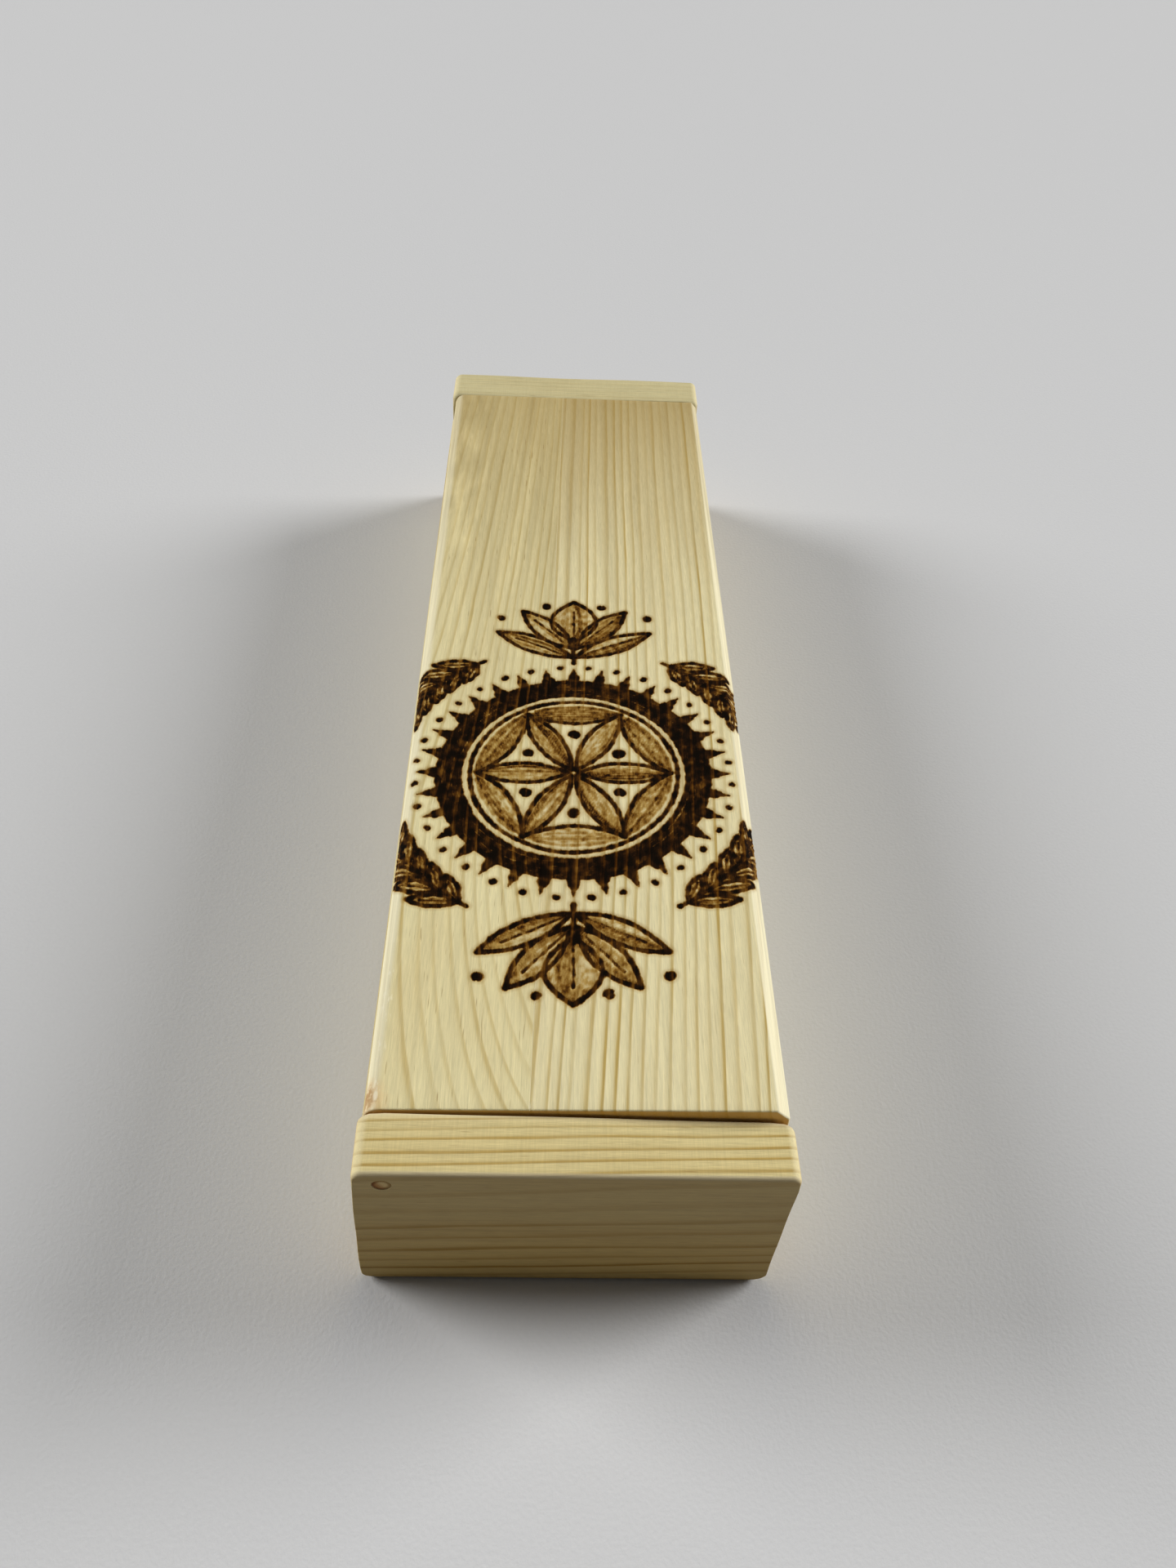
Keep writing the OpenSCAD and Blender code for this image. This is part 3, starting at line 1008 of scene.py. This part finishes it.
def burning(graph, place, late, fibres):
    """How strongly the lid is scorched, how much burnt lines cover it, and how ragged these are."""
    ragged = graph.noise(place, (2.4, 1.0, 2.4), 3.0, 0.65)
    blots = graph.noise(place, (0.55, 0.42, 0.55))
    edge = graph.attribute("burn") + ragged.spread(-0.2, 0.2)
    cover = edge.smooth(-0.2, 0.24)
    tone = graph.attribute("tone") + blots.spread(-0.6, 0.6) - late * 0.55 + fibres.spread(-0.4, 0.4)
    char = cover * tone.spread(0.42, 1.02)
    halo = edge.smooth(-0.8, 0.0) * 0.12
    wash = graph.attribute("wash") * ragged.spread(0.2, 1.5)
    scorch = graph.math("MAXIMUM", graph.math("MAXIMUM", char, halo), wash)
    return scorch, cover, ragged


def lid_pine(name, grain_place, brown_from, browning, banding, contrast, fineness, **look):
    """Pine of the lid, with the ornament's lines and washes burnt into it.

    Towards the back it is browner, its late wood wider and fainter, and broad bands follow the grain.
    """
    graph = Graph(bpy.data.materials.new(name))
    x, y, z = graph.place()
    place = graph.joined(x, y, z)
    rings = grain_place(graph, x, y, z)
    back = y.smooth(*BACK_LOOK)
    # The lid's end grain is brightened with a painted glow of light through the wood
    colour, late, fibres = wood(graph, rings, (x, z, y), "Y", LID_END_AND_GLOW, back.spread(0.8, 0.45),
                                contrast=back.spread(contrast, contrast * 0.7),
                                fineness=back.spread(fineness, fineness * 0.5), **look)
    colour = graph.shaded(colour, back_shades(graph, x, y, place, rings[0], banding))
    colour = graph.mix(y.smooth(brown_from, FULLY_BROWN) * browning, colour, BACK_BROWN)
    # Painted highlight on the lid's rounded long edges, over their paler sanded wood, less of it towards the back
    edges = graph.facing("X").smooth(0.05, 0.45) * back.spread(0.75, 0.45)
    edge_lines = graph.noise(place, (1.8, 0.015, 1.8))
    colour = graph.mix(edges, colour, graph.shaded(SANDED_EDGE_HIGHLIGHT, edge_lines.spread(0.55, 1.45)))
    colour = knotty_corner(graph, x, y, place, colour)
    scorch, cover, ragged = burning(graph, place, late, fibres)
    colour = graph.mix(1.0, colour, graph.ramp(scorch, BURN_COLOURS), "MULTIPLY")
    height = late * LATE_RELIEF + fibres - cover * ragged.spread(0.4, 1.6)
    roughness = fibres.spread(0.48, 0.68) + cover * 0.26
    return graph.surface(colour, roughness, height, relief=0.045, specular=LID_SHINE)


def straight_grain(graph, x, y, z):
    """Quarter-sawn: the pith lies far to the side, so the rings are lines, which drift left in front."""
    ahead = graph.math("MINIMUM", y - STRAIGHT_BEND_AT, 0.0)
    drift = y * STRAIGHT_LEAN - ahead * ahead * STRAIGHT_BEND
    return x - drift + STRAIGHT_PITH[0], z + STRAIGHT_PITH[1]


def bowed_grain(graph, x, y, z):
    """Rift-sawn: the lines lean, least at the glue line. In front they swing right, and most there."""
    from_bend = y - BOWED_BEND_AT
    ahead = graph.math("MINIMUM", from_bend, 0.0)
    behind = graph.math("MAXIMUM", from_bend, 0.0)
    lean = x * BOWED_LEAN[1] + BOWED_LEAN[0]
    bend = x * BOWED_BEND[1] + BOWED_BEND[0]
    swing = ahead * ahead * bend + behind * lean
    return x - swing + BOWED_PITH[0], z + BOWED_PITH[1]


def dowel_wood(name):
    """Wood of the pins: end grain with pores, dark at the rim, and painted shade on the lower left side."""
    graph = Graph(bpy.data.materials.new(name))
    x, y, z = graph.place()
    dx, dz = x - hinge_x, z - hinge_z
    pores = graph.noise(graph.joined(dx, y * 0.05, dz), (6.0, 6.0, 6.0), 3.0, 0.7)
    from_axis = graph.distance(dx, dz) + pores.spread(-0.3, 0.3)
    rim = from_axis.smooth(pin_radius * 0.5, pin_radius * 0.8)
    # Painted shade on the lower left of each pin's end, rim included
    painted_shade_side = (dx + dz * 0.6).smooth(pin_radius * 0.4, -pin_radius * 0.6)
    colour = graph.ramp(pores, [(0.3, DOWEL_DARK), (0.7, DOWEL_PALE)])
    colour = graph.mix(painted_shade_side * 0.9, colour, DOWEL_SHADE)
    colour = graph.mix(rim * 0.9, colour, graph.mix(painted_shade_side, DOWEL_RIM, DOWEL_SHADED_RIM))
    return graph.surface(colour, pores.spread(0.5, 0.7), pores, relief=0.01)


def plywood(name):
    """Thin plywood of the bottom panel: pale, close-grained and faintly streaked."""
    graph = Graph(bpy.data.materials.new(name))
    place = graph.joined(*graph.place())
    streaks = graph.noise(place, (0.5, 0.011, 0.5), 4.0, 0.6)
    hairs = graph.noise(place, (5.0, 0.12, 5.0), 3.0, 0.6)
    colour = graph.ramp(streaks, [(0.3, PLY_DARK), (0.7, PLY_PALE)])
    colour = graph.shaded(colour, hairs.spread(0.84, 1.14))
    return graph.surface(colour, hairs.spread(0.5, 0.7), hairs, relief=0.03)


# Pieces

drawing = ornament()
hinge_board_pine = lid_pine("hinge_board_pine", bowed_grain, brown_from=-45.0, browning=0.64, banding=0.35,
                            spacing=1.25, contrast=0.62, fineness=1.3, flecks=0.7, tint=(1.0, 1.0, 0.96))
lid_board("lid_hinge_board", hinge_section, glue_line_front - hinge_board_low[0], drawing,
          hinge_board_pine, bored=True)
free_board_pine = lid_pine("free_board_pine", straight_grain, brown_from=-5.0, browning=0.83, banding=0.18,
                           spacing=1.85, contrast=0.92, fineness=1.0, flecks=0.3)
lid_board("lid_free_board", free_section, free_board_high[0] - glue_line_back, drawing,
          free_board_pine, bored=False)
end_block("front_end_block",
          plain_pine("front_block_pine", "X", pith=(38.0, 76.0), lean=0.03, scratches=0.14, plain_face_and_shade=0.7,
                     spacing=1.55, contrast=1.15, fineness=1.5, tint=(0.90, 0.85, 0.70)))
end_block("back_end_block",
          plain_pine("back_block_pine", "X", pith=(-40.0, 10.0), scratches=0.08, spacing=2.1, contrast=0.2,
                     tint=(0.80, 0.79, 0.74)))
side_wall("hinge_side_wall",
          plain_pine("hinge_wall_pine", "Y", pith=(38.0, 22.0), lean=0.01, spacing=2.0,
                     tint=(0.93, 0.90, 0.82)))
side_wall("opening_side_wall",
          plain_pine("opening_wall_pine", "Y", pith=(-52.0, 5.0), lean=-0.008, spacing=2.2,
                     tint=(0.95, 0.92, 0.84)))
pin_wood = dowel_wood("pin_wood")
for node in ("front_hinge_pin", "back_hinge_pin"):
    pin(node, pin_wood)

# The bottom panel keeps its own shape
panel_ply = plywood("panel_ply")
for holder in frame["nodes"]["bottom_panel"].material_slots:
    holder.material = panel_ply


# Stage: floor, light and camera

FLOOR_SIZE = 6000.0
FLOOR_DROP = 0.2
FLOOR_TONES = (0.62, 0.66)

# Lights by heading and height in degrees, and level. At level 1 white shows as white
LIGHTS = {"left_light": (162.0, 25.0, 0.84),
          "right_light": (18.0, 25.0, 0.94),
          "top_light": (90.0, 80.0, 0.12)}
LIGHT_SPREAD = 28.0
SKY_LEVEL = 0.04
BACKDROP_LEVEL = 0.55

# Camera: its place, its look by heading and height in degrees, its roll, and its focal length in pixels
CAMERA_AT = (-5.64, -175.96, 186.88)
CAMERA_LOOK = (86.96, -46.89)
CAMERA_ROLL = 3.58
CAMERA_CLIP = 10.0
FOCAL_PIXELS = 1482.3
PICTURE_HEIGHT = 1920
SENSOR = 36.0


def make_floor():
    graph = Graph(bpy.data.materials.new("floor_paper"))
    tooth = graph.noise(graph.joined(*graph.place()), (1.5, 1.5, 1.5))
    colour = graph.ramp(tooth, [(0.0, grey(FLOOR_TONES[0])), (1.0, grey(FLOOR_TONES[1]))])
    paper = graph.surface(colour, tooth.spread(0.85, 0.95), tooth, relief=0.05, specular=PAPER_SHINE)
    bpy.ops.mesh.primitive_plane_add(size=FLOOR_SIZE * MM, location=(0, 0, -FLOOR_DROP * MM))
    floor = bpy.context.object
    floor.name = "floor"
    floor.data.materials.append(paper)


def pointing(heading, height):
    """Direction by its heading round from +X and its height, both in degrees."""
    around, up = math.radians(heading), math.radians(height)
    return Vector((math.cos(around) * math.cos(up), math.sin(around) * math.cos(up), math.sin(up)))


def set_up(name, data, turn):
    """A lamp or camera as an object of the scene, turned by a quaternion."""
    thing = bpy.data.objects.new(name, data)
    thing.rotation_mode = "QUATERNION"
    thing.rotation_quaternion = turn
    bpy.context.scene.collection.objects.link(thing)
    return thing


def broad_light(name, heading, height, level):
    """Soft light from far away."""
    data = bpy.data.lights.new(name, "SUN")
    data.energy = math.pi * level
    data.angle = math.radians(LIGHT_SPREAD)
    set_up(name, data, pointing(heading, height).to_track_quat("Z", "Y"))


def make_light():
    """The lights, and a sky that the camera sees brighter than it shines."""
    for name, light in LIGHTS.items():
        broad_light(name, *light)
    bpy.context.scene.world = bpy.data.worlds.new("studio")
    graph = Graph(bpy.context.scene.world)
    seen = graph.value("ShaderNodeLightPath", output="Is Camera Ray")
    inputs = {"Color": (1.0, 1.0, 1.0, 1.0), "Strength": seen.spread(SKY_LEVEL, BACKDROP_LEVEL)}
    graph.add("ShaderNodeOutputWorld", {0: graph.value("ShaderNodeBackground", inputs)})


def make_camera():
    data = bpy.data.cameras.new("camera")
    data.sensor_width = SENSOR
    data.lens = FOCAL_PIXELS / PICTURE_HEIGHT * SENSOR
    data.clip_start = CAMERA_CLIP * MM
    look = pointing(*CAMERA_LOOK).to_track_quat("-Z", "Y")
    roll = Quaternion((0, 0, 1), math.radians(CAMERA_ROLL))
    camera = set_up("camera", data, look @ roll)
    camera.location = Vector(CAMERA_AT) * MM
    bpy.context.scene.camera = camera


make_floor()
make_light()
make_camera()
bpy.context.scene.view_settings.view_transform = "Standard"
